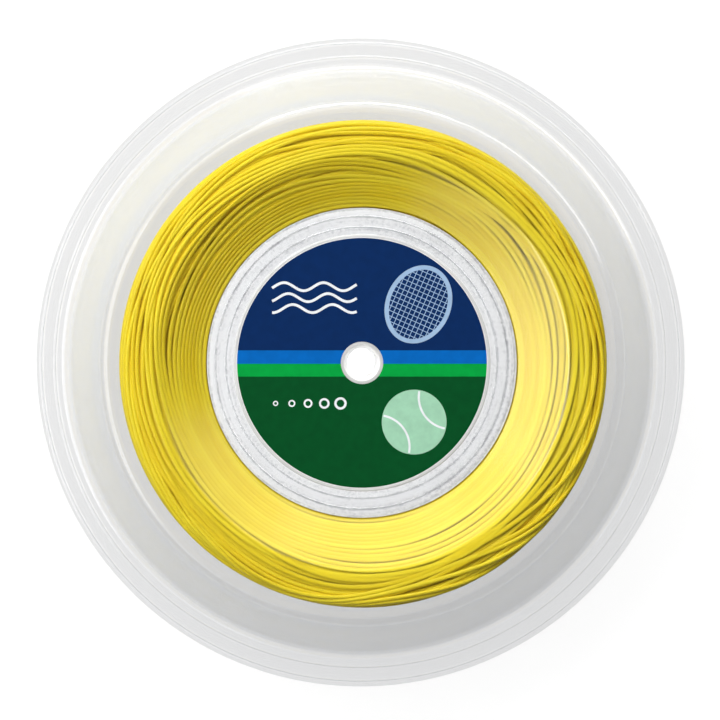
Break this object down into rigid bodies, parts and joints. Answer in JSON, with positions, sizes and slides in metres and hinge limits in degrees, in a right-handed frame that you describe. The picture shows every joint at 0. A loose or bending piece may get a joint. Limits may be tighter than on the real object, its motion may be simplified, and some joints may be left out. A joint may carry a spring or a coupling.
{
  "type": "racket string reel",
  "caption": "Racket string reel: two clear dished shells clamped on a paper core by snap-in end plugs, with wound string between them and a round label.",
  "frame": {"origin": "centre of the footprint, on the plane that the back crown rests on", "axes": "+Z along the spindle bore, out of the labelled front; +Y towards the top of the label; +X to its right"},
  "size_m": [0.185, 0.185, 0.042],
  "materials": {
    "clear_shell": "gloss",
    "paperboard": "matte",
    "plug_plastic": "satin",
    "label_print": "satin",
    "string_yellow": "gloss",
    "tape_paper": "matte"
  },
  "bodies": {
    "root": {"front_shell": "clear_shell", "back_shell": "clear_shell", "core_tube": "paperboard", "front_plug": "plug_plastic", "back_plug": "plug_plastic", "front_label": "label_print", "string_inner_layers": "string_yellow", "string_outer_layer": "string_yellow", "start_tape": "tape_paper"}
  },
  "joints": []
}
